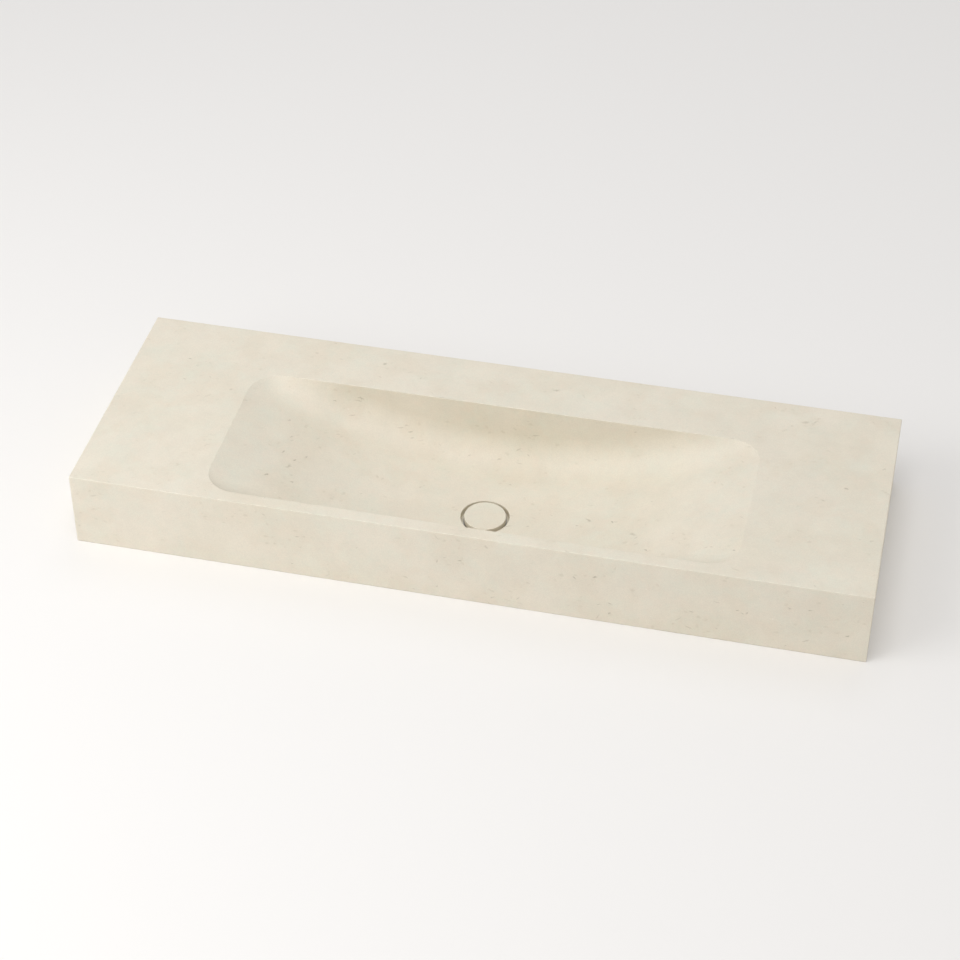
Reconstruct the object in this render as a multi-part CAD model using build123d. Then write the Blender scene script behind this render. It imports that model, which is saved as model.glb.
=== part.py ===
from build123d import *
from math import atan, cos, degrees, radians, sin, tan
import os

# Stone washbasin, sizes in mm. X runs along the block, +Y points to the wall, +Z is up.
# The origin is the centre of the flat base.

# block
blockLength = 1200.0
blockDepth = 415.0
blockHeight = 126.0
blockEdgeRadius = 1.5

# bowl opening in the top face
bowlLength = 802.0
bowlFrontLand = 21.0
bowlBackLand = 105.5
rimEdgeRadius = 1.2

# bowl floor: two straight ramps joined by a shallow arc
bowlDepth = 103.0
rampAngle = 21.2
rampOverrun = 2.0
coveRadius = 48.0
cornerStart = 63.0
flareWidth = 10.5
cutterOverrun = 100.0

# round recess in the bowl floor, the hole through it, and the rebate under it
recessRadius = 37.5
recessDepth = 9.5
recessEdgeRadius = 0.8
drainHoleRadius = 33.5
rebateRadius = 61.0
rebateDepth = 8.0

# stone cover over the outlet
coverRadius = 32.0
coverThickness = 10.0
coverRise = 2.4
coverEdgeRadius = 0.8
coverPlateRadius = 30.0
coverPlateThickness = 1.2
studCount = 3
studCircle = 28.5
studFirstAngle = 90.0
studRadius = 1.5
footPadRadius = 2.2
footPadHeight = 2.0
footPadFloor = 1.0
dimpleRadius = 2.6
dimpleDepth = 0.5
restGap = 0.05

# outlet: flat ring under the stone, collar up through the drain hole, socket down to the base
outletPlateRadius = 60.0
outletPlateThickness = 3.0
gasketThickness = 1.0
gasketInnerRadius = 34.5
collarRadius = 33.1
collarTopGap = 0.5
collarMouthRadius = 23.6
strainerSeatRadius = 22.6
strainerSeatDepth = 2.2
socketBoreRadius = 19.5
socketOuterRadius = 26.0
socketBottom = 0.8
socketChamfer = 1.0

# strainer
strainerRadius = 22.3
strainerThickness = 1.0
strainerHoleRadius = 1.75
strainerHoleRings = [(8.0, 6), (13.0, 12), (18.0, 18)]
knobRadius = 4.5
knobNeckRadius = 2.0
knobHeight = 3.0
knobHeadThickness = 1.4
knobEdgeRadius = 0.55

# outlet screws, M4, and their inserts in the stone
screwCount = 6
screwCircle = 50.0
screwFirstAngle = 30.0
screwRadius = 2.0
screwHoleRadius = 2.3
screwLength = 10.0
screwHeadRadius = 4.0
screwHeadHeight = 2.2
screwHeadEdgeRadius = 0.9
screwSocketRadius = 1.25
screwSocketDepth = 1.3
washerRadius = 5.0
washerThickness = 0.8
insertRadius = 3.0
insertLength = 6.0

# sleeves for M12 wall rods, in the back face
sleeveSpacingX = 840.0
sleeveLowZ = 38.0
sleeveSpacingZ = 50.0
sleeveRadius = 9.0
sleeveLength = 60.0
sleeveBoreRadius = 5.1
sleeveBoreDepth = 50.0

# how closely a size or a direction has to agree when a face or an edge is picked out
tolerance = 0.01

# worked out from the sizes above
topZ = blockHeight
floorZ = blockHeight - bowlDepth
backFace = blockDepth / 2
bowlFront = -blockDepth / 2 + bowlFrontLand
bowlBack = blockDepth / 2 - bowlBackLand
bowlMiddleY = (bowlFront + bowlBack) / 2
bowlHalfWidth = (bowlBack - bowlFront) / 2
bowlHalfLength = bowlLength / 2
recessFloor = floorZ - recessDepth
outletPlateTop = rebateDepth - gasketThickness
outletPlateBottom = outletPlateTop - outletPlateThickness
collarTop = recessFloor - collarTopGap
strainerSeatZ = collarTop - strainerSeatDepth
strainerBottom = strainerSeatZ + restGap
rampTangent = tan(radians(rampAngle))
coverBottom = floorZ + coverRise - coverThickness
footPadBottom = collarTop - dimpleDepth + restGap


def onDrain(z, radius=0.0, angle=0.0):
    """A place at a height, on the drain axis or at a radius and angle around it."""
    turn = radians(angle)
    return Pos(radius * cos(turn), bowlMiddleY + radius * sin(turn), z)


def aroundDrain(count, z, radius, first):
    """Evenly spaced places on a circle around the drain axis."""
    return [onDrain(z, radius, first + 360.0 * i / count) for i in range(count)]


def screwPlaces(z):
    return aroundDrain(screwCount, z, screwCircle, screwFirstAngle)


def studPlaces(z):
    return aroundDrain(studCount, z, studCircle, studFirstAngle)


def post(radius, height):
    """A cylinder that stands on its own origin."""
    return Cylinder(radius, height, align=(Align.CENTER, Align.CENTER, Align.MIN))


def ring(outerRadius, innerRadius, height):
    return post(outerRadius, height) - post(innerRadius, height)


def rampDepth(x):
    """Depth of the straight ramp, carried on past its ends, below the top face."""
    return (bowlHalfLength - abs(x)) * rampTangent


def cutterOutline():
    """Plan of the bowl cutter. It flares out towards each end, where the ramp rises and the cove
    runs out through the top face, and so the rim of the bowl stays straight there."""
    slope = radians(rampAngle)
    flareStartX = bowlHalfLength - coveRadius / sin(slope)
    flareRun = bowlHalfLength - cornerStart - flareStartX
    flareAngle = 2 * degrees(atan(flareWidth / flareRun))
    flareRadius = flareRun / sin(radians(flareAngle))

    endX = bowlHalfLength + rampOverrun + coveRadius * (1 - sin(slope))
    cornerRadius = (endX - bowlHalfLength + cornerStart) / (1 + sin(radians(flareAngle)))

    straight = Line((0, bowlHalfWidth), (flareStartX, bowlHalfWidth))
    flare = JernArc(straight @ 1, straight % 1, flareRadius, flareAngle)
    corner = JernArc(flare @ 1, flare % 1, cornerRadius, -90 - flareAngle)
    side = Line(corner @ 1, ((corner @ 1).X, 0))
    quarter = Curve() + [straight, flare, corner, side]
    half = quarter + mirror(quarter, about=Plane.XZ)
    return make_face(half + mirror(half, about=Plane.YZ))


def bowlSideView():
    """Side view of the space above the bowl floor: ramp, arc and ramp, closed above the block."""
    slope = radians(rampAngle)
    arcRadius = (rampDepth(0) - bowlDepth) / (1 / cos(slope) - 1)
    arcEndX = arcRadius * sin(slope)
    arcEndZ = topZ - rampDepth(arcEndX)
    farX = bowlHalfLength + coveRadius
    farZ = topZ - rampDepth(farX)
    roofZ = topZ + cutterOverrun
    floor = ThreePointArc((-arcEndX, arcEndZ), (0, floorZ), (arcEndX, arcEndZ))
    rest = Polyline(
        (arcEndX, arcEndZ), (farX, farZ), (farX, roofZ), (-farX, roofZ), (-farX, farZ), (-arcEndX, arcEndZ)
    )
    return make_face(Curve() + [floor, rest])


def bowlCutter():
    """Solid milled out of the block: the plan and the side view crossed, with a cove all round."""
    plan = onDrain(0) * extrude(cutterOutline(), topZ + cutterOverrun)
    side = extrude(Plane.XZ * bowlSideView(), blockDepth, both=True)
    cutter = plan & side
    walls = [f for f in cutter.faces() if abs(f.normal_at(f.center()).Z) < tolerance]
    wallEdges = [e for f in walls for e in f.edges()]
    footEdges = [e for e in wallEdges if not isUpright(e) and e.center().Z < topZ + coveRadius]
    return fillet(footEdges, coveRadius)


def isUpright(edge):
    return abs((edge % 0.5).Z) > 1 - tolerance


def bowlRim(block):
    """Edges where the bowl meets the top face."""
    top = block.faces().sort_by(Axis.Z)[-1]
    return top.inner_wires().edges()


def recessRim(block):
    """Edges where the drain recess meets the bowl floor."""
    walls = block.faces().filter_by(GeomType.CYLINDER)
    wall = [f for f in walls if abs(f.radius - recessRadius) < tolerance]
    return [e for f in wall for e in f.edges() if e.center().Z > floorZ - recessEdgeRadius]


def basinBlock():
    block = Pos(0, 0, topZ / 2) * Box(blockLength, blockDepth, blockHeight)
    block = fillet(block.edges(), blockEdgeRadius)
    block -= bowlCutter()
    block = fillet(bowlRim(block), rimEdgeRadius)
    block -= onDrain(recessFloor) * post(recessRadius, topZ)
    block = fillet(recessRim(block), recessEdgeRadius)
    block -= onDrain(0) * post(drainHoleRadius, topZ)
    block -= onDrain(0) * post(rebateRadius, rebateDepth)
    for place in screwPlaces(rebateDepth):
        block -= place * post(insertRadius, insertLength)
    for place in sleevePlaces():
        block -= place * post(sleeveRadius, sleeveLength)
    return block


def drainCover():
    """Round stone cover with a pocket in its underside that the plate fills."""
    cover = onDrain(coverBottom) * post(coverRadius, coverThickness)
    cover = fillet(cover.edges().group_by(Axis.Z)[-1], coverEdgeRadius)
    return cover - onDrain(coverBottom) * post(coverPlateRadius, coverPlateThickness)


def coverPlate():
    return onDrain(coverBottom) * post(coverPlateRadius, coverPlateThickness)


def coverStuds():
    """Three studs from the plate down into their soft feet."""
    foot = footPadBottom + footPadFloor
    return [place * post(studRadius, coverBottom - foot) for place in studPlaces(foot)]


def coverFootPads():
    pad = post(footPadRadius, footPadHeight) - Pos(0, 0, footPadFloor) * post(studRadius, footPadHeight)
    return [place * pad for place in studPlaces(footPadBottom)]


def strainerDisc():
    disc = post(strainerRadius, strainerThickness)
    for radius, count in strainerHoleRings:
        for i in range(count):
            turn = Rot(0, 0, 360.0 * i / count)
            disc -= turn * Pos(radius, 0, 0) * post(strainerHoleRadius, strainerThickness)
    return onDrain(strainerBottom) * disc


def strainerKnob():
    """Mushroom knob on the middle of the strainer."""
    head = Pos(0, 0, knobHeight - knobHeadThickness) * post(knobRadius, knobHeadThickness)
    head = fillet(head.edges(), knobEdgeRadius)
    return onDrain(strainerBottom + strainerThickness) * (post(knobNeckRadius, knobHeight) + head)


def outletBody():
    """Turned outlet: socket below, flat ring, and a wide collar that fills the drain hole. The
    collar has the strainer seat in its mouth and three dimples for the feet of the cover."""
    outline = Polyline(
        (socketBoreRadius, socketBottom + socketChamfer),
        (socketBoreRadius, strainerSeatZ),
        (strainerSeatRadius, strainerSeatZ),
        (strainerSeatRadius, strainerSeatZ + strainerThickness),
        (collarMouthRadius, collarTop),
        (collarRadius, collarTop),
        (collarRadius, outletPlateTop),
        (outletPlateRadius, outletPlateTop),
        (outletPlateRadius, outletPlateBottom),
        (socketOuterRadius, outletPlateBottom),
        (socketOuterRadius, socketBottom),
        (socketBoreRadius + socketChamfer, socketBottom),
        close=True,
    )
    body = onDrain(0) * revolve(Plane.XZ * make_face(outline), Axis.Z)
    for place in screwPlaces(outletPlateBottom):
        body -= place * post(screwHoleRadius, outletPlateThickness)
    for place in studPlaces(collarTop - dimpleDepth):
        body -= place * post(dimpleRadius, dimpleDepth)
    return body


def outletGasket():
    gasket = onDrain(outletPlateTop) * ring(outletPlateRadius, gasketInnerRadius, gasketThickness)
    for place in screwPlaces(outletPlateTop):
        gasket -= place * post(screwHoleRadius, gasketThickness)
    return gasket


def outletInserts():
    insert = ring(insertRadius, screwRadius, insertLength)
    return [place * insert for place in screwPlaces(rebateDepth)]


def outletWashers():
    washer = ring(washerRadius, screwHoleRadius, washerThickness)
    under = outletPlateBottom - washerThickness
    return [place * washer for place in screwPlaces(under)]


def outletScrews():
    """Low round-head screws driven up from below, each with a six-sided key socket."""
    under = outletPlateBottom - washerThickness
    head = Pos(0, 0, -screwHeadHeight) * post(screwHeadRadius, screwHeadHeight)
    head = fillet(head.edges().group_by(Axis.Z)[0], screwHeadEdgeRadius)
    key = extrude(RegularPolygon(screwSocketRadius, 6), screwSocketDepth)
    screw = head + post(screwRadius, screwLength) - Pos(0, 0, -screwHeadHeight) * key
    return [place * screw for place in screwPlaces(under)]


def sleevePlaces():
    """Mouths of the four sleeves in the back face, each looking into the block."""
    return [
        Pos(side * sleeveSpacingX / 2, backFace, sleeveLowZ + level * sleeveSpacingZ) * Rot(90, 0, 0)
        for side in (-1, 1)
        for level in (0, 1)
    ]


def wallSleeves():
    sleeve = post(sleeveRadius, sleeveLength) - post(sleeveBoreRadius, sleeveBoreDepth)
    return [place * sleeve for place in sleevePlaces()]


pieces = {
    "basin_block": basinBlock,
    "drain_cover": drainCover,
    "cover_plate": coverPlate,
    "cover_studs": coverStuds,
    "cover_foot_pads": coverFootPads,
    "strainer_disc": strainerDisc,
    "strainer_knob": strainerKnob,
    "outlet_body": outletBody,
    "outlet_gasket": outletGasket,
    "outlet_inserts": outletInserts,
    "outlet_screws": outletScrews,
    "outlet_washers": outletWashers,
    "wall_sleeves": wallSleeves,
}


def main():
    os.makedirs("parts", exist_ok=True)
    for name, make in pieces.items():
        solid = make()
        if isinstance(solid, list):
            solid = Compound(children=solid)
        export_step(solid, f"parts/{name}.step")


main()
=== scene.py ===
import bpy
import bmesh
import math
from mathutils import Matrix, Vector


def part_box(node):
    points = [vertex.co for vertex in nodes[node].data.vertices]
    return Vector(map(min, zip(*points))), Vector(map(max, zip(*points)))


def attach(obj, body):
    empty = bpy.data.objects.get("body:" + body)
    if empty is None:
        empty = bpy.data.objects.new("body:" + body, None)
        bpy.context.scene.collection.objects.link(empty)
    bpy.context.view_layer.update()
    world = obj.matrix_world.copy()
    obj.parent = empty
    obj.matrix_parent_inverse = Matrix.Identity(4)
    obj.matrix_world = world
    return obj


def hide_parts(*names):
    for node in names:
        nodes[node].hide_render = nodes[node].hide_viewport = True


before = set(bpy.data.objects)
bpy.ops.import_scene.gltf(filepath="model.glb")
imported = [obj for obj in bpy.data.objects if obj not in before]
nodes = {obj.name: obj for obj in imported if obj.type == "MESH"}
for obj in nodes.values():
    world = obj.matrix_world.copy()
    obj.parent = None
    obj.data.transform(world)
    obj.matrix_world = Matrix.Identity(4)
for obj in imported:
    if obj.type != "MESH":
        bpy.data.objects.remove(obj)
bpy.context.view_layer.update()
print("frame loaded,", len(nodes), "nodes")


def middleOf(nodeName):
    low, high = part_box(nodeName)
    return (low + high) / 2


drain = middleOf("drain_cover")
noiseLow, noiseHigh = 0.3, 0.7   # nearly all values of a noise texture lie between these


def linear(hexColour):
    # sRGB hex to the linear colour that the shaders take
    values = [int(hexColour[i:i + 2], 16) / 255 for i in (1, 3, 5)]
    return [v / 12.92 if v <= 0.04045 else ((v + 0.055) / 1.055) ** 2.4 for v in values] + [1.0]


def put(tree, kind, settings=None, inputs=None):
    # adds a node; an input given as a socket is linked, anything else is set
    made = tree.nodes.new(kind)
    for key, value in (settings or {}).items():
        setattr(made, key, value)
    for key, value in (inputs or {}).items():
        if isinstance(value, bpy.types.NodeSocket):
            tree.links.new(value, made.inputs[key])
        else:
            made.inputs[key].default_value = value
    return made


def newMaterial(name):
    material = bpy.data.materials.new(name)
    material.use_nodes = True
    tree = material.node_tree
    tree.nodes.clear()
    shader = put(tree, "ShaderNodeBsdfPrincipled")
    put(tree, "ShaderNodeOutputMaterial", inputs={"Surface": shader.outputs[0]})
    return material, tree, shader


def join(tree, sockets, shader):
    for name, socket in sockets.items():
        tree.links.new(socket, shader.inputs[name])


def dress(nodeName, material):
    mesh = nodes[nodeName].data
    mesh.materials.clear()
    mesh.materials.append(material)


# honed limestone: sawn, then rubbed smooth with fine grit. The eye gets a matt cream face with soft
# clouds, short grey-brown shell bits in loose groups, a few open pits, and slightly paler edges.
# Painted light is mixed in: the paler edges are partly wear and partly a painted highlight, the pale specks
# are partly a painted highlight, the nicks carry painted shade, and the flecks are painted fainter on the top
# face
stone = {
    "cream": "#E4DCCC",
    "sand": "#E0D8C6",
    "warm": "#E5D9C8",
    "cool": "#DFDCCC",
    "khaki": "#D2CBB5",
    "pale": "#F1ECE0",
    "cloudSize": 0.16,       # metres, as all sizes here
    "cloudFrom": (0.32, 0.68),
    "mottleSize": 0.060,
    "mottleLight": 0.036,
    "mottleFrom": (0.46, 0.72),  # noise levels between which a warm or cool patch comes up
    "mottleMost": 0.9,       # how much of the ground colour such a patch covers
    "grainSize": 0.0016,
    "grainLight": 0.012,
    "crumbSize": 0.0009,     # shell sand that the stone is made of, only seen from close by
    "crumbLight": 0.035,
    "bedTurn": (0.3, 0.2, 0.15),   # radians, so that no bed lies along a face
    "tilt": 1.3,             # radians, the most that a shell bit leans out of the bed
    "groupSize": 0.060,
    "groupFrom": (0.51, 0.60),   # noise levels between which the shell bits crowd together
    "groupLeast": 0.04,      # the share of shell bits that is left between the groups
    "washedTopHeights": (0.112, 0.1255),   # between these heights the flecks fade towards the top face, as painted light washing them out
    "washedTopStrength": 0.58,
    "groupTint": 0.14,
    "bendSize": 0.006,
    "bendReach": 0.004,
    "roughness": (0.50, 0.62),
    "grainBump": 0.00004,
    "pitBump": 0.0004,
    "edgeWidth": 0.0025,
    "edgeWearAndHighlight": 0.30,
    "edgeNoise": 0.014,
    "edgeFrom": (0.38, 0.64),
    "edgeTurn": (0.999, 0.93),   # cosines of the turn from the flat face, where the edge marks (paler wear with a painted highlight, and nicks) start and are full
    "nickSize": 0.005,
    "nickFrom": (0.60, 0.68),
    "nickShadeAmount": 0.5,
}

# shell bits: cell is the spacing, long and thin are half sizes, in metres. Broad soft smudges come first;
# the pale specks are partly calcite level with the face and partly a painted highlight, like the lit side of
# a pit, and the others are a little hollow
fleckLayers = [
    {"cell": 0.013, "long": 0.0052, "thin": 0.0026, "colour": "#B5AA90",
     "share": 1.0, "strength": 0.26, "hollow": 0.0},
    {"cell": 0.011, "long": 0.0018, "thin": 0.0009, "colour": "#A3977F",
     "share": 0.25, "strength": 0.40, "hollow": 0.5},
    {"cell": 0.016, "long": 0.0050, "thin": 0.0012, "colour": "#988C75",
     "share": 0.52, "strength": 0.56, "hollow": 0.6},
    {"cell": 0.026, "long": 0.0090, "thin": 0.0014, "colour": "#968971",
     "share": 0.60, "strength": 0.48, "hollow": 0.4},
    # pale specks: partly calcite, partly a painted highlight
    {"cell": 0.018, "long": 0.0024, "thin": 0.0010, "colour": "#F4EFE2",
     "share": 0.8, "strength": 0.60, "hollow": 0.0},
    {"cell": 0.032, "long": 0.0050, "thin": 0.0014, "colour": "#7C705B",
     "share": 0.65, "strength": 0.85, "hollow": 1.0},
]


def fleckAmount(tree, bed, groups, strength, layer):
    # thin discs, one to a cell, tilted out of the bed each its own way, so that a face cuts them as dashes
    cells = put(tree, "ShaderNodeTexVoronoi", inputs={"Vector": bed, "Scale": 1 / layer["cell"]})
    away = put(tree, "ShaderNodeVectorMath", {"operation": "SUBTRACT"}, {
        0: bed, 1: cells.outputs["Position"]})
    chance = put(tree, "ShaderNodeSeparateXYZ", inputs={0: cells.outputs["Color"]})
    other = put(tree, "ShaderNodeTexWhiteNoise", inputs={"Vector": cells.outputs["Position"]})
    axis = put(tree, "ShaderNodeVectorMath", {"operation": "SUBTRACT"}, {
        0: other.outputs["Color"], 1: (0.5, 0.5, 0.5)})
    turn = put(tree, "ShaderNodeMapRange", inputs={
        0: other.outputs["Value"], 3: -stone["tilt"], 4: stone["tilt"]})
    turned = put(tree, "ShaderNodeVectorRotate", inputs={
        "Vector": away.outputs[0], "Axis": axis.outputs[0], "Angle": turn.outputs[0]})
    flat = put(tree, "ShaderNodeVectorMath", {"operation": "MULTIPLY"}, {
        0: turned.outputs[0], 1: (1 / layer["long"], 1 / layer["long"], 1 / layer["thin"])})
    reach = put(tree, "ShaderNodeVectorMath", {"operation": "LENGTH"}, {0: flat.outputs[0]})
    inside = put(tree, "ShaderNodeMapRange", {"interpolation_type": "SMOOTHSTEP"}, {
        0: reach.outputs["Value"], 1: 1.0, 2: 0.2, 3: 0.0, 4: 1.0})
    likely = put(tree, "ShaderNodeMath", {"operation": "MULTIPLY"}, {0: groups, 1: layer["share"]})
    chosen = put(tree, "ShaderNodeMath", {"operation": "LESS_THAN"}, {
        0: chance.outputs[1], 1: likely.outputs[0]})
    depth = put(tree, "ShaderNodeMapRange", inputs={
        0: chance.outputs[2], 1: 0.0, 2: 1.0, 3: 0.2 * layer["strength"], 4: layer["strength"]})
    amount = inside.outputs[0]
    for factor in (chosen.outputs[0], depth.outputs[0], strength):
        amount = put(tree, "ShaderNodeMath", {"operation": "MULTIPLY"}, {0: amount, 1: factor}).outputs[0]
    return amount


def limestone(name, shift):
    material, tree, shader = newMaterial(name)
    place = put(tree, "ShaderNodeTexCoord").outputs["Object"]
    bed = put(tree, "ShaderNodeMapping", inputs={
        0: place, "Location": shift, "Rotation": stone["bedTurn"]}).outputs[0]

    cloud = put(tree, "ShaderNodeTexNoise", inputs={0: bed, "Scale": 1 / stone["cloudSize"], "Detail": 4.0})
    cloudLow, cloudHigh = stone["cloudFrom"]
    cloudy = put(tree, "ShaderNodeMapRange", inputs={0: cloud.outputs[0], 1: cloudLow, 2: cloudHigh})
    colour = put(tree, "ShaderNodeMix", {"data_type": "RGBA"}, {
        "Factor": cloudy.outputs[0], 6: linear(stone["cream"]), 7: linear(stone["sand"])}).outputs[2]

    mottle = put(tree, "ShaderNodeTexNoise", inputs={
        0: bed, "Scale": 1 / stone["mottleSize"], "Detail": 5.0, "Roughness": 0.78})
    parts = put(tree, "ShaderNodeSeparateColor", inputs={0: mottle.outputs["Color"]})
    mottleLow, mottleHigh = stone["mottleFrom"]
    for key, part in (("warm", 0), ("cool", 1)):
        amount = put(tree, "ShaderNodeMapRange", inputs={
            0: parts.outputs[part], 1: mottleLow, 2: mottleHigh, 3: 0.0, 4: stone["mottleMost"]})
        colour = put(tree, "ShaderNodeMix", {"data_type": "RGBA"}, {
            "Factor": amount.outputs[0], 6: colour, 7: linear(stone[key])}).outputs[2]
    grain = put(tree, "ShaderNodeTexNoise", inputs={0: bed, "Scale": 1 / stone["grainSize"], "Detail": 3.0})
    crumbs = put(tree, "ShaderNodeTexVoronoi", inputs={"Vector": bed, "Scale": 1 / stone["crumbSize"]})
    crumb = put(tree, "ShaderNodeSeparateColor", inputs={0: crumbs.outputs["Color"]})
    for socket, low, high, reach in (
            (parts.outputs[2], noiseLow, noiseHigh, stone["mottleLight"]),
            (grain.outputs[0], noiseLow, noiseHigh, stone["grainLight"]),
            (crumb.outputs[0], 0.0, 1.0, stone["crumbLight"])):
        light = put(tree, "ShaderNodeMapRange", inputs={
            0: socket, 1: low, 2: high, 3: 1 - reach, 4: 1 + reach})
        colour = put(tree, "ShaderNodeVectorMath", {"operation": "SCALE"}, {
            0: colour, "Scale": light.outputs[0]}).outputs[0]

    bend = put(tree, "ShaderNodeTexNoise", inputs={0: bed, "Scale": 1 / stone["bendSize"], "Detail": 2.0})
    bend = put(tree, "ShaderNodeVectorMath", {"operation": "MULTIPLY_ADD"}, {
        0: bend.outputs["Color"], 1: (stone["bendReach"],) * 3, 2: bed}).outputs[0]
    groups = put(tree, "ShaderNodeTexNoise", inputs={0: bed, "Scale": 1 / stone["groupSize"], "Detail": 2.0})
    groupLow, groupHigh = stone["groupFrom"]
    groups = put(tree, "ShaderNodeMapRange", inputs={
        0: groups.outputs[0], 1: groupLow, 2: groupHigh, 3: stone["groupLeast"], 4: 1.0}).outputs[0]
    height = put(tree, "ShaderNodeSeparateXYZ", inputs={0: place})
    washLow, washHigh = stone["washedTopHeights"]
    # painted light: the flecks are painted fainter on the top face, as if the light from above washed them
    # out
    strength = put(tree, "ShaderNodeMapRange", inputs={
        0: height.outputs[2], 1: washLow, 2: washHigh, 3: 1.0, 4: stone["washedTopStrength"]}).outputs[0]
    stain = put(tree, "ShaderNodeMath", {"operation": "MULTIPLY"}, {0: groups, 1: stone["groupTint"]})
    colour = put(tree, "ShaderNodeMix", {"data_type": "RGBA"}, {
        "Factor": stain.outputs[0], 6: colour, 7: linear(stone["khaki"])}).outputs[2]
    hollows = 0.0
    for layer in fleckLayers:
        amount = fleckAmount(tree, bend, groups, strength, layer)
        colour = put(tree, "ShaderNodeMix", {"data_type": "RGBA"}, {
            "Factor": amount, 6: colour, 7: linear(layer["colour"])}).outputs[2]
        hollows = put(tree, "ShaderNodeMath", {"operation": "MULTIPLY_ADD"}, {
            0: amount, 1: layer["hollow"], 2: hollows}).outputs[0]

    # edges paler, partly rubbed wear and partly a painted highlight where the rounded edge catches the light,
    # unevenly along their length, with small nicks
    rounded = put(tree, "ShaderNodeBevel", {"samples": 4}, {"Radius": stone["edgeWidth"]})
    face = put(tree, "ShaderNodeNewGeometry")
    agree = put(tree, "ShaderNodeVectorMath", {"operation": "DOT_PRODUCT"}, {
        0: rounded.outputs[0], 1: face.outputs["Normal"]})
    turnLow, turnHigh = stone["edgeTurn"]
    edge = put(tree, "ShaderNodeMapRange", inputs={
        0: agree.outputs["Value"], 1: turnLow, 2: turnHigh, 3: 0.0, 4: 1.0})
    uneven = put(tree, "ShaderNodeTexNoise", inputs={0: bed, "Scale": 1 / stone["edgeNoise"], "Detail": 3.0})
    wearLow, wearHigh = stone["edgeFrom"]
    uneven = put(tree, "ShaderNodeMapRange", inputs={
        0: uneven.outputs[0], 1: wearLow, 2: wearHigh, 3: 0.0, 4: stone["edgeWearAndHighlight"]})
    wornAndHighlit = put(tree, "ShaderNodeMath", {"operation": "MULTIPLY"}, {0: edge.outputs[0], 1: uneven.outputs[0]})
    # painted highlight along the edges, mixed with real wear
    colour = put(tree, "ShaderNodeMix", {"data_type": "RGBA"}, {
        "Factor": wornAndHighlit.outputs[0], 6: colour, 7: linear(stone["pale"])}).outputs[2]
    nick = put(tree, "ShaderNodeTexNoise", inputs={0: bed, "Scale": 1 / stone["nickSize"], "Detail": 2.0})
    nickLow, nickHigh = stone["nickFrom"]
    nick = put(tree, "ShaderNodeMapRange", inputs={0: nick.outputs[0], 1: nickLow, 2: nickHigh})
    nick = put(tree, "ShaderNodeMath", {"operation": "MULTIPLY"}, {
        0: nick.outputs[0], 1: edge.outputs[0]}).outputs[0]
    # painted shade: the nicks are tinted darker khaki as if shaded inside, besides their real hollow relief
    nickShade = put(tree, "ShaderNodeMath", {"operation": "MULTIPLY"}, {0: nick, 1: stone["nickShadeAmount"]})
    colour = put(tree, "ShaderNodeMix", {"data_type": "RGBA"}, {
        "Factor": nickShade.outputs[0], 6: colour, 7: linear(stone["khaki"])}).outputs[2]
    hollows = put(tree, "ShaderNodeMath", {"operation": "ADD"}, {0: hollows, 1: nick}).outputs[0]

    smooth, coarse = stone["roughness"]
    rough = put(tree, "ShaderNodeMapRange", inputs={
        0: grain.outputs[0], 1: noiseLow, 2: noiseHigh, 3: smooth, 4: coarse})
    grainBump = put(tree, "ShaderNodeBump", inputs={
        "Strength": 1.0, "Distance": stone["grainBump"], "Height": grain.outputs[0]})
    pitBump = put(tree, "ShaderNodeBump", {"invert": True}, {
        "Strength": 1.0, "Distance": stone["pitBump"], "Height": hollows, "Normal": grainBump.outputs[0]})
    join(tree, {"Base Color": colour, "Roughness": rough.outputs[0], "Normal": pitBump.outputs[0]}, shader)
    return material


dress("basin_block", limestone("honed limestone block", (0.0, 0.0, 0.0)))
dress("drain_cover", limestone("honed limestone cover", (0.31, 0.12, 0.4)))
print("stone dressed")


# satin stainless steel: rolled sheet and rod, brushed one way. The eye gets long fine lines and a
# soft stretched sheen
satinSteel = {
    "colour": "#C9C8C4",
    "dull": "#B1AFA9",
    "lineLong": 0.014,
    "lineWide": 0.0003,
    "patchSize": 0.02,
    "dullFrom": (0.4, 0.7),  # noise levels between which the metal goes dull
    "dullWeight": 0.35,      # how much the dull patches count beside the lines, for the roughness
    "roughFrom": (0.3, 0.95),
    "roughness": (0.26, 0.42),
    "bump": 0.000006,
}

# polished stainless steel: pressed sheet, buffed. The eye gets a near mirror with faint dried drops
polishedSteel = {
    "colour": "#D3D2CF",
    "dull": "#C2C1BC",
    "lineLong": 0.003,
    "lineWide": 0.0012,
    "patchSize": 0.006,
    "dullFrom": (0.4, 0.7),
    "dullWeight": 0.35,
    "roughFrom": (0.3, 0.95),
    "roughness": (0.07, 0.20),
    "bump": 0.000002,
}


def steelFace(tree, shader, finish, patches, marks):
    # dull patches and tool marks give the colour, the roughness and the relief
    dullLow, dullHigh = finish["dullFrom"]
    dulled = put(tree, "ShaderNodeMapRange", inputs={0: patches, 1: dullLow, 2: dullHigh}).outputs[0]
    colour = put(tree, "ShaderNodeMix", {"data_type": "RGBA"}, {
        "Factor": dulled, 6: linear(finish["colour"]), 7: linear(finish["dull"])}).outputs[2]
    both = put(tree, "ShaderNodeMath", {"operation": "MULTIPLY_ADD"}, {
        0: dulled, 1: finish["dullWeight"], 2: marks})
    roughLow, roughHigh = finish["roughFrom"]
    smooth, coarse = finish["roughness"]
    rough = put(tree, "ShaderNodeMapRange", inputs={
        0: both.outputs[0], 1: roughLow, 2: roughHigh, 3: smooth, 4: coarse})
    bump = put(tree, "ShaderNodeBump", inputs={"Strength": 1.0, "Distance": finish["bump"], "Height": marks})
    shader.inputs["Metallic"].default_value = 1.0
    join(tree, {"Base Color": colour, "Roughness": rough.outputs[0], "Normal": bump.outputs[0]}, shader)


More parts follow.
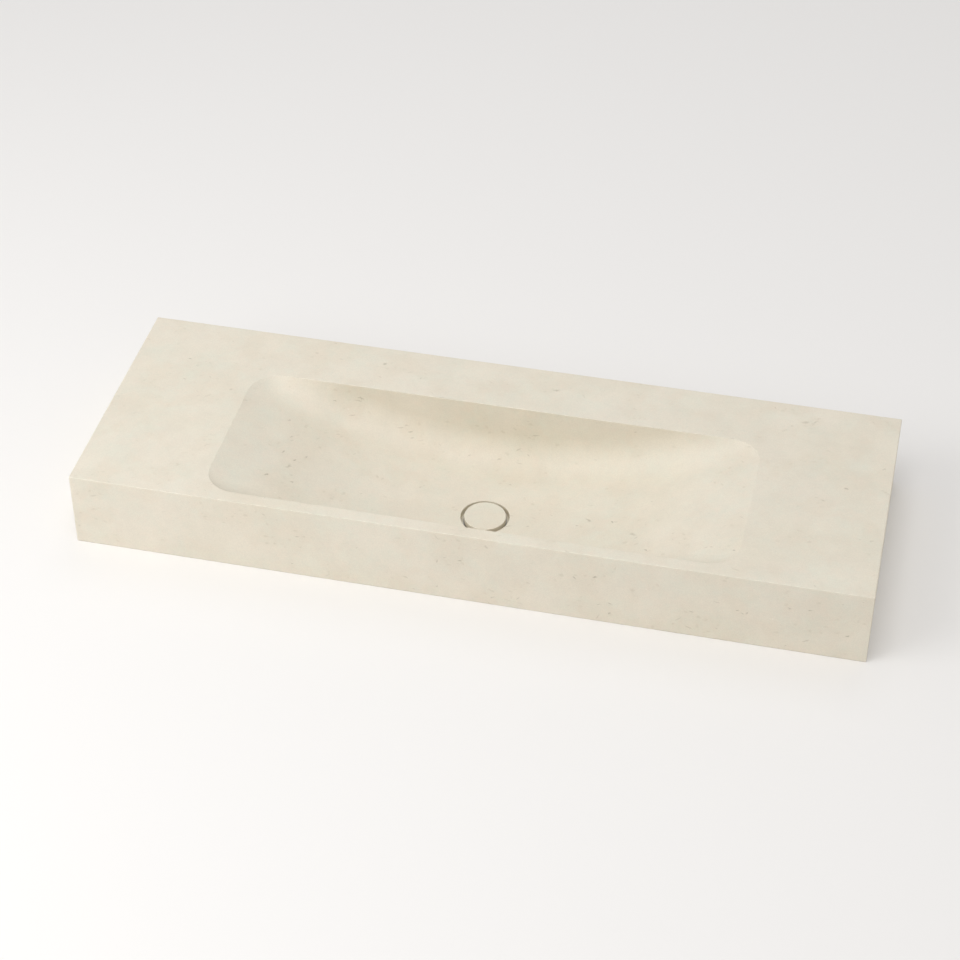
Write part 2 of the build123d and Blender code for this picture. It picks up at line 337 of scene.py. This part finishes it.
def brushedSteel(name, finish):
    material, tree, shader = newMaterial(name)
    place = put(tree, "ShaderNodeTexCoord").outputs["Object"]
    stretch = (1 / finish["lineLong"], 1 / finish["lineWide"], 1 / finish["lineWide"])
    along = put(tree, "ShaderNodeVectorMath", {"operation": "MULTIPLY"}, {0: place, 1: stretch})
    lines = put(tree, "ShaderNodeTexNoise", inputs={
        0: along.outputs[0], "Scale": 1.0, "Detail": 3.0}).outputs[0]
    patches = put(tree, "ShaderNodeTexNoise", inputs={
        0: place, "Scale": 1 / finish["patchSize"], "Detail": 3.0})
    steelFace(tree, shader, finish, patches.outputs[0], lines)
    return material


# turned stainless steel: cast, then cut on a lathe. The eye gets fine rings round the axis, and grey
# dulling where water stands
turnedSteel = {
    "colour": "#CBCAC6",
    "dull": "#A5A39D",
    "ringSize": 0.0005,
    "patchSize": 0.018,
    "dullFrom": (0.42, 0.7),
    "dullWeight": 0.5,
    "roughFrom": (0.3, 1.1),
    "roughness": (0.22, 0.45),
    "bump": 0.000012,
}


def latheSteel(name, finish, centre):
    material, tree, shader = newMaterial(name)
    place = put(tree, "ShaderNodeTexCoord").outputs["Object"]
    local = put(tree, "ShaderNodeVectorMath", {"operation": "SUBTRACT"}, {0: place, 1: centre}).outputs[0]
    flat = put(tree, "ShaderNodeVectorMath", {"operation": "MULTIPLY"}, {0: local, 1: (1, 1, 0)})
    radius = put(tree, "ShaderNodeVectorMath", {"operation": "LENGTH"}, {0: flat.outputs[0]})
    height = put(tree, "ShaderNodeSeparateXYZ", inputs={0: local})
    across = put(tree, "ShaderNodeMath", {"operation": "ADD"}, {
        0: radius.outputs["Value"], 1: height.outputs[2]})
    rings = put(tree, "ShaderNodeTexNoise", {"noise_dimensions": "1D"}, {
        "W": across.outputs[0], "Scale": 1 / finish["ringSize"], "Detail": 2.0}).outputs[0]
    patches = put(tree, "ShaderNodeTexNoise", inputs={
        0: local, "Scale": 1 / finish["patchSize"], "Detail": 4.0})
    steelFace(tree, shader, finish, patches.outputs[0], rings)
    return material


# knurled brass: rolled with a crossed knurl so that the glue grips. The eye gets small diamonds, with painted
# shade in the grooves
knurledBrass = {
    "colour": "#D3B97E",
    # the darker colour painted into the grooves as shade
    "dull": "#8F7A4C",
    "pitch": 0.0008,
    "roughness": (0.30, 0.50),
    "bump": 0.00015,
}


def knurl(name, finish):
    material, tree, shader = newMaterial(name)
    place = put(tree, "ShaderNodeTexCoord").outputs["Object"]
    heights = []
    for lean in (1, -1):
        turned = put(tree, "ShaderNodeMapping", inputs={0: place, "Rotation": (0.0, lean * math.pi / 4, 0.0)})
        # one band of a wave texture is 2 pi / 20 of its unit wide
        wave = put(tree, "ShaderNodeTexWave", inputs={
            0: turned.outputs[0], "Scale": math.pi / 10 / finish["pitch"], "Distortion": 0.0})
        heights.append(wave.outputs[1])
    crossed = put(tree, "ShaderNodeMath", {"operation": "MULTIPLY"}, {
        0: heights[0], 1: heights[1]}).outputs[0]
    # painted shade: the colour goes darker down into the knurl grooves
    colour = put(tree, "ShaderNodeMix", {"data_type": "RGBA"}, {
        "Factor": crossed, 6: linear(finish["dull"]), 7: linear(finish["colour"])}).outputs[2]
    smooth, coarse = finish["roughness"]
    rough = put(tree, "ShaderNodeMapRange", inputs={0: crossed, 3: coarse, 4: smooth})
    bump = put(tree, "ShaderNodeBump", inputs={
        "Strength": 1.0, "Distance": finish["bump"], "Height": crossed})
    shader.inputs["Metallic"].default_value = 1.0
    join(tree, {"Base Color": colour, "Roughness": rough.outputs[0], "Normal": bump.outputs[0]}, shader)
    return material


# black sealing rubber: die-cut from calendered sheet. The eye gets a dead matt black with a grey bloom
sealRubber = {
    "colour": "#1D1D1C",
    "bloom": "#3A3936",
    "patchSize": 0.012,
    "grainSize": 0.0005,
    "bloomFrom": (0.4, 0.75),    # noise levels between which the surface turns greyer
    "roughness": (0.68, 0.85),
    "bump": 0.00003,
}

# grey silicone: moulded soft feet. The eye gets a smooth, faintly waxy grey
softSilicone = {
    "colour": "#A9A8A3",
    "bloom": "#B9B7B1",
    "patchSize": 0.003,
    "grainSize": 0.0004,
    "bloomFrom": (0.4, 0.75),
    "roughness": (0.42, 0.55),
    "bump": 0.00001,
}


def rubber(name, finish):
    material, tree, shader = newMaterial(name)
    place = put(tree, "ShaderNodeTexCoord").outputs["Object"]
    patches = put(tree, "ShaderNodeTexNoise", inputs={
        0: place, "Scale": 1 / finish["patchSize"], "Detail": 4.0})
    bloomLow, bloomHigh = finish["bloomFrom"]
    bloom = put(tree, "ShaderNodeMapRange", inputs={
        0: patches.outputs[0], 1: bloomLow, 2: bloomHigh}).outputs[0]
    grain = put(tree, "ShaderNodeTexNoise", inputs={
        0: place, "Scale": 1 / finish["grainSize"], "Detail": 3.0}).outputs[0]
    colour = put(tree, "ShaderNodeMix", {"data_type": "RGBA"}, {
        "Factor": bloom, 6: linear(finish["colour"]), 7: linear(finish["bloom"])}).outputs[2]
    smooth, coarse = finish["roughness"]
    rough = put(tree, "ShaderNodeMapRange", inputs={
        0: grain, 1: noiseLow, 2: noiseHigh, 3: smooth, 4: coarse})
    bump = put(tree, "ShaderNodeBump", inputs={"Strength": 1.0, "Distance": finish["bump"], "Height": grain})
    join(tree, {"Base Color": colour, "Roughness": rough.outputs[0], "Normal": bump.outputs[0]}, shader)
    return material


satin = brushedSteel("satin stainless steel", satinSteel)
polished = brushedSteel("polished stainless steel", polishedSteel)
for nodeName in ("cover_plate", "cover_studs", "outlet_washers", "outlet_screws", "wall_sleeves"):
    dress(nodeName, satin)
for nodeName in ("strainer_disc", "strainer_knob"):
    dress(nodeName, polished)
dress("outlet_body", latheSteel("turned stainless steel", turnedSteel, (drain.x, drain.y, 0.0)))
dress("outlet_inserts", knurl("knurled brass", knurledBrass))
dress("outlet_gasket", rubber("black sealing rubber", sealRubber))
dress("cover_foot_pads", rubber("grey silicone", softSilicone))
print("metal and rubber dressed")


# wall sleeves: turned from stainless rod, with a cut M12 thread and a countersunk mouth
sleeve = {
    "pitch": 0.00175,
    "crestRadius": 0.0051,   # as wide as the plain bore of the solid that it stands for
    "rootRadius": 0.0060,
    "flats": (0.0, 0.25, 0.56, 0.69),   # where crest and root begin and end, in parts of the pitch
    "threadEnd": 0.050,      # depths are measured inwards from the back face
    "seatRadius": 0.00606,   # the foot of the countersink, just outside the roots
    "sinkRadius": 0.0068,
    "sinkDepth": 0.0008,
    "outerRadius": 0.0090,
    "rimChamfer": 0.0003,
    "steps": 48,
    "merge": 0.000001,       # points nearer to each other than this are one
    "cutReach": 0.0000001,
    "sharpAngle": 30,        # degrees
}


def threadSurface(shape, finish):
    # the flank profile of several turns, spun once round Y while it climbs one pitch, so that the turns join
    pitch = finish["pitch"]
    radii = [finish["crestRadius"]] * 2 + [finish["rootRadius"]] * 2
    corners = list(zip(radii, finish["flats"]))
    turns = range(-2, math.ceil(finish["threadEnd"] / pitch) + 1)
    row = [shape.verts.new((radius, (turn + part) * pitch, 0)) for turn in turns for radius, part in corners]
    line = [shape.edges.new(pair) for pair in zip(row, row[1:])]
    steps = finish["steps"]
    bmesh.ops.spin(shape, geom=row + line, cent=(0, 0, 0), axis=(0, 1, 0), dvec=(0, pitch / steps, 0),
                   angle=math.tau, steps=steps)
    bmesh.ops.remove_doubles(shape, verts=shape.verts[:], dist=finish["merge"])
    for depth, side in ((finish["sinkDepth"], -1), (finish["threadEnd"], 1)):
        everything = shape.verts[:] + shape.edges[:] + shape.faces[:]
        bmesh.ops.bisect_plane(shape, geom=everything, dist=finish["cutReach"],
                               plane_co=(0, depth, 0), plane_no=(0, side, 0), clear_outer=True)


def openEdges(shape, depth):
    # the edges of the hole that is cut off at this depth
    reach = sleeve["merge"]
    return [e for e in shape.edges if e.is_boundary and all(abs(v.co.y - depth) < reach for v in e.verts)]


def carryRing(shape, edges, radius, depth):
    # extrudes a round open edge and moves it to a new radius and depth
    made = bmesh.ops.extrude_edge_only(shape, edges=edges)["geom"]
    for vert in [g for g in made if isinstance(g, bmesh.types.BMVert)]:
        flat = Vector((vert.co.x, 0, vert.co.z)).normalized() * radius
        vert.co = (flat.x, depth, flat.z)
    return [g for g in made if isinstance(g, bmesh.types.BMEdge)]


def makeSleeve(length):
    # the bore first, then from its mouth outwards: countersink, face, chamfer, outside and closed end
    shape = bmesh.new()
    threadSurface(shape, sleeve)
    bmesh.ops.triangle_fill(shape, edges=openEdges(shape, sleeve["threadEnd"]), use_beauty=True)
    sinkDepth, rim, radius = sleeve["sinkDepth"], sleeve["rimChamfer"], sleeve["outerRadius"]
    flatToBack = Matrix.Translation((0, sinkDepth, 0)) @ Matrix.Rotation(math.pi / 2, 4, "X")
    seat = bmesh.ops.create_circle(shape, radius=sleeve["seatRadius"], segments=sleeve["steps"],
                                   matrix=flatToBack)
    outline = list(dict.fromkeys(e for v in seat["verts"] for e in v.link_edges))
    bmesh.ops.triangle_fill(shape, edges=outline + openEdges(shape, sinkDepth), use_beauty=True)
    rings = [(sleeve["sinkRadius"], 0.0), (radius - rim, 0.0), (radius, rim), (radius, length)]
    for ringRadius, depth in rings:
        outline = carryRing(shape, outline, ringRadius, depth)
    bmesh.ops.triangle_fill(shape, edges=outline, use_beauty=True)
    bmesh.ops.recalc_face_normals(shape, faces=shape.faces[:])
    return shape


def makeSleeves():
    low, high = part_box("wall_sleeves")
    radius = sleeve["outerRadius"]
    whole = bmesh.new()
    one = bpy.data.meshes.new("sleeve")
    shape = makeSleeve(high.y - low.y)
    for x in (low.x + radius, high.x - radius):
        for z in (low.z + radius, high.z - radius):
            placed = shape.copy()
            placed.transform(Matrix.Translation((x, high.y, z)) @ Matrix.Rotation(math.pi, 4, "Z"))
            placed.to_mesh(one)
            whole.from_mesh(one)
            placed.free()
    shape.free()
    mesh = bpy.data.meshes.new("threaded_sleeves")
    whole.to_mesh(mesh)
    whole.free()
    bpy.data.meshes.remove(one)
    for face in mesh.polygons:
        face.use_smooth = True
    mesh.set_sharp_from_angle(angle=math.radians(sleeve["sharpAngle"]))
    mesh.materials.append(satin)
    made = bpy.data.objects.new("threaded_sleeves", mesh)
    bpy.context.scene.collection.objects.link(made)
    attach(made, "basin")
    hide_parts("wall_sleeves")


makeSleeves()
print("sleeves threaded")


# plain studio: a pale floor that runs out into an even pale backdrop, and soft lamps low on the left,
# overhead and behind
studio = {
    "floor": "#F2F0EE",
    "floorRoughness": 0.9,
    "floorSize": 12.0,       # half its width, in metres
    "fade": (2.2, 6.0),      # metres from the middle between which the floor turns into the backdrop
    "sky": "#FFFFFF",
    "skyStrength": 0.545,
    "backdrop": "#FFFFFF",
    "backdropStrength": 0.76,
    "lamps": [
        {"place": (-1.932, -1.621, 1.970), "size": 2.0, "watts": 34.8, "colour": "#FFFFFF"},
        {"place": (0.0, -2.223, 6.108), "size": 3.0, "watts": 100.8, "colour": "#FFFFFF"},
        {"place": (0.0, 3.250, 5.629), "size": 3.0, "watts": 29.4, "colour": "#FFFFFF"},
    ],
    "aim": (0.0, 0.0, 0.1),
}


def seenDirectly(tree):
    # 1 for rays that show the backdrop, to the eye or in metal, and 0 for those that only carry light
    ray = put(tree, "ShaderNodeLightPath")
    seen = ray.outputs["Is Camera Ray"]
    for name in ("Is Glossy Ray", "Is Transmission Ray"):
        seen = put(tree, "ShaderNodeMath", {"operation": "MAXIMUM"}, {
            0: seen, 1: ray.outputs[name]}).outputs[0]
    return seen


def makeFloor():
    mesh = bpy.data.meshes.new("floor")
    shape = bmesh.new()
    bmesh.ops.create_grid(shape, x_segments=1, y_segments=1, size=studio["floorSize"])
    shape.to_mesh(mesh)
    shape.free()
    floor = bpy.data.objects.new("floor", mesh)
    bpy.context.scene.collection.objects.link(floor)
    material, tree, shader = newMaterial("matt studio floor")
    shader.inputs["Base Color"].default_value = linear(studio["floor"])
    shader.inputs["Roughness"].default_value = studio["floorRoughness"]
    place = put(tree, "ShaderNodeTexCoord").outputs["Object"]
    away = put(tree, "ShaderNodeVectorMath", {"operation": "LENGTH"}, {0: place})
    far = put(tree, "ShaderNodeMapRange", {"interpolation_type": "SMOOTHSTEP"}, {
        0: away.outputs["Value"], 1: studio["fade"][0], 2: studio["fade"][1]})
    shown = put(tree, "ShaderNodeMath", {"operation": "MULTIPLY"}, {0: far.outputs[0], 1: seenDirectly(tree)})
    backdrop = put(tree, "ShaderNodeEmission", inputs={
        "Color": linear(studio["backdrop"]), "Strength": studio["backdropStrength"]})
    both = put(tree, "ShaderNodeMixShader", inputs={
        0: shown.outputs[0], 1: shader.outputs[0], 2: backdrop.outputs[0]})
    tree.links.new(both.outputs[0], tree.nodes["Material Output"].inputs["Surface"])
    mesh.materials.append(material)


def makeLamp(lamp):
    data = bpy.data.lights.new("soft lamp", "AREA")
    data.shape = "SQUARE"
    data.size = lamp["size"]
    data.energy = lamp["watts"]
    data.color = linear(lamp["colour"])[:3]
    made = bpy.data.objects.new("soft lamp", data)
    made.location = lamp["place"]
    aim = Vector(studio["aim"]) - made.location
    made.rotation_euler = aim.to_track_quat("-Z", "Y").to_euler()
    bpy.context.scene.collection.objects.link(made)


def makeLights():
    for lamp in studio["lamps"]:
        makeLamp(lamp)
    world = bpy.data.worlds.new("even sky")
    world.use_nodes = True
    tree = world.node_tree
    sky = tree.nodes["Background"]
    sky.inputs[0].default_value = linear(studio["sky"])
    strength = put(tree, "ShaderNodeMapRange", inputs={
        0: seenDirectly(tree), 3: studio["skyStrength"], 4: studio["backdropStrength"]})
    tree.links.new(strength.outputs[0], sky.inputs[1])
    bpy.context.scene.world = world


# the camera stands where the photograph was taken from, in metres and degrees
camera = {
    "place": (0.610386, -2.763022, 2.435444),
    "azimuth": 12.804,
    "elevation": 39.989,
    "lens": 90.49,
    "sensor": 36.0,
}


def makeCamera():
    data = bpy.data.cameras.new("camera")
    data.lens = camera["lens"]
    data.sensor_width = camera["sensor"]
    made = bpy.data.objects.new("camera", data)
    made.location = camera["place"]
    made.rotation_euler = (math.radians(90 - camera["elevation"]), 0, math.radians(camera["azimuth"]))
    bpy.context.scene.collection.objects.link(made)
    bpy.context.scene.camera = made


makeFloor()
makeLights()
makeCamera()
bpy.context.scene.view_settings.view_transform = "Standard"
print("studio ready")
